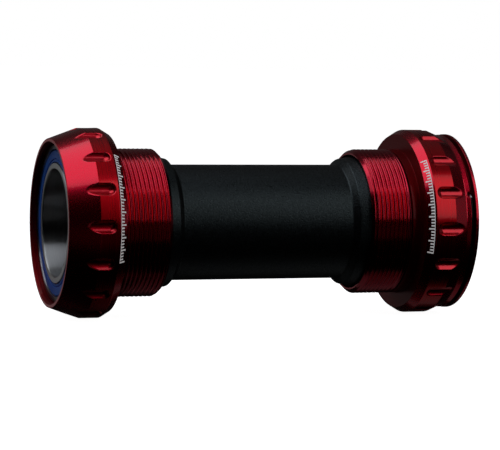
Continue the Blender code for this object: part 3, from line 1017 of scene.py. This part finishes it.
def make_cage(side, body, centre, turned_round):
    """The ball cage: a ring with a round pocket for each ball."""
    corners = [
        (-CAGE_HALF_WIDTH, CAGE_INNER_RADIUS, 0.1),
        (-CAGE_HALF_WIDTH, CAGE_OUTER_RADIUS, 0.1),
        (CAGE_HALF_WIDTH, CAGE_OUTER_RADIUS, 0.1),
        (CAGE_HALF_WIDTH, CAGE_INNER_RADIUS, 0.1),
    ]
    cage = lathe(side + "_cage", corners, WIDE_SEGMENTS, centre, turned_round)
    low, high = PITCH_RADIUS - POCKET_CUT_HALF_LENGTH, PITCH_RADIUS + POCKET_CUT_HALF_LENGTH
    cut_with(cage, [rod("pocket", 0, POCKET_RADIUS, low, high, angle) for angle in ball_angles])
    cage.data.shade_flat()
    finish_piece(cage, body, side + "_ball_cage", "cage_polymer")


def make_balls(side, body, centre, turned_round):
    """All the balls of one bearing, as one piece."""
    bm = bmesh.new()
    for angle in ball_angles:
        turn = Matrix.Rotation(angle, 4, "X") @ Matrix.Translation((0, 0, MM * PITCH_RADIUS))
        bmesh.ops.create_icosphere(bm, subdivisions=4, radius=MM * BALL_RADIUS, matrix=turn)
    mesh = bpy.data.meshes.new(side + "_balls")
    bm.to_mesh(mesh)
    bm.free()
    mesh.shade_smooth()
    balls = placed(linked(side + "_balls", mesh), centre, turned_round)
    names = [f"{side}_ball_{number:02d}" for number in range(1, BALL_COUNT + 1)]
    finish_piece(balls, body, None, "ceramic")
    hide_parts(*names)


def finish_race(race, body, cad_node, end_look):
    """A race's look: rings of grinding on its round faces, and end_look on its flat ends. The inner
    race's ends get a plainer finish; the outer race's ends get a darker copy of the steel, as painted
    shade.
    """
    finish_piece(race, body, cad_node, "bearing_steel")
    race.data.materials.append(looks[end_look])
    for face in race.data.polygons:
        face.material_index = int(abs(face.normal.x) > 0.5)


def make_bearing(side, body, race_body, ball_body, turned_round):
    """One sealed bearing: its races, seals, cage and balls."""
    centre = (-bearing_centre if turned_round else bearing_centre, 0, 0)
    outer = lathe(side + "_race_outer", outer_race_corners(), RING_SEGMENTS, centre, turned_round)
    # The outer race's flat ends, inside the cup, get the darker steel as painted shade.
    finish_race(outer, body, side + "_outer_race", "painted_shade_race_end")
    inner = lathe(side + "_race_inner", inner_race_corners(), RING_SEGMENTS, centre, turned_round)
    finish_race(inner, race_body, side + "_inner_race", "race_end_and_clip_glint")
    outboard = lathe(side + "_seal_outboard", seal_corners(), RING_SEGMENTS, centre, turned_round)
    finish_piece(outboard, body, side + "_outboard_seal", "blue_seal")
    inboard = lathe(side + "_seal_inboard", seal_corners(), RING_SEGMENTS, centre, not turned_round)
    finish_piece(inboard, body, side + "_inboard_seal", "blue_seal")
    make_cage(side, ball_body, centre, turned_round)
    make_balls(side, ball_body, centre, turned_round)


def make_mark(name, body_name, arc, turned_round):
    """A graduated scale in pale ink on the inboard cone: plain ticks along a thin line."""
    slope = np.array([LAND_START - SHELL_FACE, LAND_RADIUS - SEAT_RADIUS])
    slope /= np.linalg.norm(slope)
    out = np.array([-slope[1], slope[0]])
    foot = np.array([SHELL_FACE, SEAT_RADIUS])
    points, faces = [], []

    def bar(inner, outer, start, end, steps):
        """A thin raised strip between two distances up the cone and two angles."""
        first = len(points)
        for step in range(steps + 1):
            angle = start + (end - start) * step / steps
            low_side = [(inner, MARK_SUNK), (outer, MARK_SUNK)]
            for along, height in [*low_side, (outer, MARK_RAISED), (inner, MARK_RAISED)]:
                a, r = foot + slope * along + out * height
                points.append((a, -r * math.sin(angle), r * math.cos(angle)))
        for step in range(steps):
            low, high = first + 4 * step, first + 4 * step + 4
            for k in range(4):
                faces.append((low + k, low + (k + 1) % 4, high + (k + 1) % 4, high + k))
        last = first + 4 * steps
        faces.append((first + 3, first + 2, first + 1, first))
        faces.append((last, last + 1, last + 2, last + 3))

    start, end = (math.radians(angle) for angle in arc)
    count = round((end - start) / MARK_STEP)
    half = MARK_WIDTH / 2 / SEAT_RADIUS
    for tick in range(count + 1):
        angle = start + (end - start) * tick / count
        inner = MARK_SHORT_TICK if tick % MARK_LONG_EVERY else MARK_LONG_TICK
        bar(inner, MARK_LINE[0], angle - half, angle + half, 1)
    bar(*MARK_LINE, start - half, end + half, MARK_LINE_STEPS)
    mark = new_object(name, points, faces, turned_round=turned_round)
    tidy_normals(mark)
    mark.data.shade_flat()
    finish_piece(mark, body_name, None, "ink")


def tube(name, route, across, radius, sides):
    """Round wire along a route of points in a plane. across is the plane's normal."""
    route = [Vector(point) for point in route]
    across = Vector(across)
    points = []
    for index, here in enumerate(route):
        along = (route[min(index + 1, len(route) - 1)] - route[max(index - 1, 0)]).normalized()
        side = along.cross(across)
        for step in range(sides):
            angle = FULL_TURN * step / sides
            points.append(tuple(here + (across * math.cos(angle) + side * math.sin(angle)) * radius))
    faces = grid_faces(len(route), sides, 0)
    faces.append(tuple(range(sides)))
    faces.append(tuple(range((len(route) - 1) * sides, len(route) * sides)))
    return outward(new_object(name, points, faces))


def make_clip():
    """The wire clip: it passes under the cup, with both ends bent into their holes. Its ends and bends
    are lighter steel, as a painted glint.
    """
    end = CLIP_END_ANGLE
    bend = CLIP_BEND_RADIUS / CLIP_RADIUS
    straight = CLIP_RADIUS - CLIP_BEND_RADIUS
    half = [(CLIP_END_RADIUS, end), (CLIP_END_RADIUS + CLIP_END_STRAIGHT, end)]
    for step in range(CLIP_BEND_STEPS):
        turn = math.pi / 2 * step / CLIP_BEND_STEPS
        radius = straight + CLIP_BEND_RADIUS * math.sin(turn)
        half.append((radius, end + bend * (1 - math.cos(turn))))
    span = math.pi - end - bend
    around = [end + bend + span * step / CLIP_ARC_STEPS for step in range(CLIP_ARC_STEPS + 1)]
    half += [(CLIP_RADIUS, angle) for angle in around]
    other = [(radius, FULL_TURN - angle) for radius, angle in reversed(half[:-1])]
    route = [(CLIP_PLACE, -r * math.sin(angle), r * math.cos(angle)) for r, angle in half + other]
    clip = tube("clip", route, (1, 0, 0), CLIP_WIRE_RADIUS, WIRE_SIDES)
    # The wire is darkened as painted shade in the groove.
    finish_piece(clip, "drive_side", "retaining_clip", "spring_wire")
    # The ends and their bends take the lighter lapped steel, as a painted glint by the holes.
    clip.data.materials.append(looks["race_end_and_clip_glint"])
    for face in clip.data.polygons:
        turn = abs(math.atan2(face.center.y, face.center.z))
        face.material_index = int(turn < end + bend * 1.3)


def make_o_rings():
    for side in ("drive", "non_drive"):
        node_name = "sleeve_o_ring_" + side
        low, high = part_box(node_name)
        section = side_length(low, high, 0) / 2
        middle = side_length(low, high, 2) / 2 - section
        corners = [
            (section * math.cos(turn), middle + section * math.sin(turn), 0)
            for turn in (FULL_TURN * step / O_RING_SIDES for step in range(O_RING_SIDES))
        ]
        centre = ((low.x + high.x) / 2 / MM, 0, 0)
        ring = lathe("o_ring_" + side, corners, RING_SEGMENTS, centre)
        finish_piece(ring, side + "_o_ring", node_name, "o_ring_rubber")


def make_sleeve():
    half = side_length(*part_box("centre_sleeve"), 0) / 2
    outer = [
        (BARREL_END, BARREL_RADIUS, 0.5),
        (SHOULDER_START, SHOULDER_START_RADIUS, 0.4),
        (SHOULDER_END, SHOULDER_RADIUS, 0.3),
        (SPIGOT_START, SPIGOT_RADIUS, 0.8),
        (O_RING_GROOVE_START, SPIGOT_RADIUS, 0.08),
        (O_RING_GROOVE_START, O_RING_GROOVE_RADIUS, 0.1),
        (O_RING_GROOVE_END, O_RING_GROOVE_RADIUS, 0.1),
        (O_RING_GROOVE_END, SPIGOT_RADIUS, 0.08),
        (half, SPIGOT_RADIUS, 0.4),
        (half, SPIGOT_BORE, 0.2),
        (SPIGOT_BORE_END, SPIGOT_BORE, 0.6),
        (BARREL_BORE_END, BARREL_BORE, 0.6),
    ]
    mirrored = [(-a, r, fillet) for a, r, fillet in reversed(outer)]
    sleeve = lathe("sleeve", outer + mirrored, WIDE_SEGMENTS)
    finish_piece(sleeve, "sleeve", "centre_sleeve", "black_composite")


ball_angles = [FULL_TURN * (ball + 0.5) / BALL_COUNT for ball in range(BALL_COUNT)]
make_sleeve()
make_o_rings()
make_clip()
make_drive_cup()
make_non_drive_cup()
make_mark("drive_cup_mark", "drive_side", MARK_DRIVE, False)
make_mark("non_drive_cup_mark", "non_drive_side", MARK_NON_DRIVE, True)
make_bearing("drive", "drive_side", "drive_spindle_race", "drive_ball_set", False)
make_bearing("non_drive", "non_drive_side", "non_drive_spindle_race", "non_drive_ball_set", True)


# ---- camera, floor and light


def make_camera():
    azimuth, elevation, roll = (
        math.radians(value) for value in (CAMERA_AZIMUTH, CAMERA_ELEVATION, CAMERA_ROLL)
    )
    back = Vector(
        (
            math.sin(azimuth) * math.cos(elevation),
            -math.cos(azimuth) * math.cos(elevation),
            math.sin(elevation),
        )
    )
    right = Vector((0, 0, 1)).cross(back).normalized()
    up = back.cross(right)
    rolled_right = right * math.cos(roll) + up * math.sin(roll)
    rolled_up = up * math.cos(roll) - right * math.sin(roll)
    camera = linked("camera", bpy.data.cameras.new("camera"))
    turn = Matrix((rolled_right, rolled_up, back)).transposed().to_4x4()
    camera.matrix_world = Matrix.Translation(Vector(CAMERA_TARGET) + back * CAMERA_DISTANCE) @ turn
    camera.data.lens = CAMERA_LENS
    camera.data.clip_start = 0.01
    bpy.context.scene.camera = camera


def area_light(name, place, aim, size, strength, colour=(1, 1, 1)):
    """A rectangular softbox that faces aim. strength is its brightness as seen in a mirror."""
    data = bpy.data.lights.new(name, "AREA")
    data.shape = "RECTANGLE"
    data.size, data.size_y = size
    data.color = colour
    data.energy = strength * math.pi * size[0] * size[1]
    light = linked(name, data)
    light.location = place
    light.rotation_euler = (Vector(aim) - Vector(place)).to_track_quat("-Z", "Y").to_euler()


def toward(azimuth, elevation):
    """A unit vector. Azimuth is in degrees from -Y towards +X."""
    turn, rise = math.radians(azimuth), math.radians(elevation)
    flat = math.cos(rise)
    return Vector((math.sin(turn) * flat, -math.cos(turn) * flat, math.sin(rise)))


def card(name, azimuth, elevation, size, strength, distance=LIGHT_DISTANCE):
    """A softbox in the given direction, which faces the object's middle."""
    area_light(name, toward(azimuth, elevation) * distance, MIDDLE, size, strength)


def make_lights():
    """Boxes overhead to the left, in front to the right and behind to the left, and dimmer cards."""
    cool = (0.96, 0.98, 1.06)
    area_light("overhead box", (-0.305, -0.07, 0.70), (-0.305, -0.07, 0), (0.69, 0.92), 1.05, cool)
    card("front box", 34, 30.5, (0.42, 0.80), 0.95)
    card("right card", 68, 10, (0.36, 0.45), 0.14, distance=0.95)
    card("left card", -82, 45, (0.30, 0.35), 0.5)
    card("left back box", -127, 22, (0.42, 0.42), 1.0)
    card("back card", -171, -6, (0.28, 0.2), 0.22)
    card("front low card", -8, -12, (0.34, 0.36), 0.085)
    card("low left card", -140, -45, (0.50, 0.40), 0.05)
    area_light("low right card", (0.08, 0.035, -0.16), (0.08, 0.035, 0), (0.14, 0.12), 0.06)


def make_world():
    """White as a backdrop. Gloss reflects a dim room that is brighter above than below."""
    world = bpy.data.worlds.new("studio")
    world.use_nodes = True
    tree = world.node_tree
    background = tree.nodes["Background"]
    coordinates = node(tree, "ShaderNodeTexCoord")
    split = node(tree, "ShaderNodeSeparateXYZ")
    tree.links.new(coordinates.outputs["Generated"], split.inputs[0])
    above = to_range(tree, split.outputs["Z"], 0.0, 0.07, 0.45, 0.85)
    behind = to_range(tree, split.outputs["Y"], 0.0, 0.05, 0.6, 1.0)
    high = to_range(tree, split.outputs["Z"], 0.1, 1.0, -0.3, -0.05)
    back_wall = node(tree, "ShaderNodeMath", operation="MULTIPLY")
    tree.links.new(behind, back_wall.inputs[0])
    tree.links.new(high, back_wall.inputs[1])
    room = node(tree, "ShaderNodeMath", operation="MAXIMUM")
    tree.links.new(above, room.inputs[0])
    tree.links.new(back_wall.outputs[0], room.inputs[1])
    path = node(tree, "ShaderNodeLightPath")
    mix = node(tree, "ShaderNodeMix")
    mix.inputs["B"].default_value = 1.0
    tree.links.new(room.outputs[0], mix.inputs["A"])
    tree.links.new(path.outputs["Is Camera Ray"], mix.inputs["Factor"])
    tree.links.new(mix.outputs["Result"], background.inputs["Strength"])
    background.inputs["Color"].default_value = (1, 1, 1, 1)
    bpy.context.scene.world = world


def make_floor():
    """A pale floor just under the object, which neither lights it nor shows in its gloss."""
    size = FLOOR_HALF_WIDTH
    corners = [(-size, -size, 0), (size, -size, 0), (size, size, 0), (-size, size, 0)]
    mesh = bpy.data.meshes.new("floor")
    mesh.from_pydata(corners, [], [(0, 1, 2, 3)])
    floor = linked("floor", mesh)
    floor.location = (0, 0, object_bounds()[0].z - FLOOR_GAP)
    floor.visible_glossy = False
    floor.visible_diffuse = False
    floor.visible_shadow = False
    look, _, shader = principled("pale floor")
    shader.inputs["Base Color"].default_value = (0.93, 0.93, 0.93, 1)
    shader.inputs["Roughness"].default_value = 0.9
    shader.inputs["Specular IOR Level"].default_value = 0.0
    shader.inputs["Emission Color"].default_value = (1, 1, 1, 1)
    shader.inputs["Emission Strength"].default_value = 0.97
    mesh.materials.append(look)


make_camera()
make_world()
make_lights()
make_floor()
bpy.context.scene.view_settings.view_transform = "Standard"
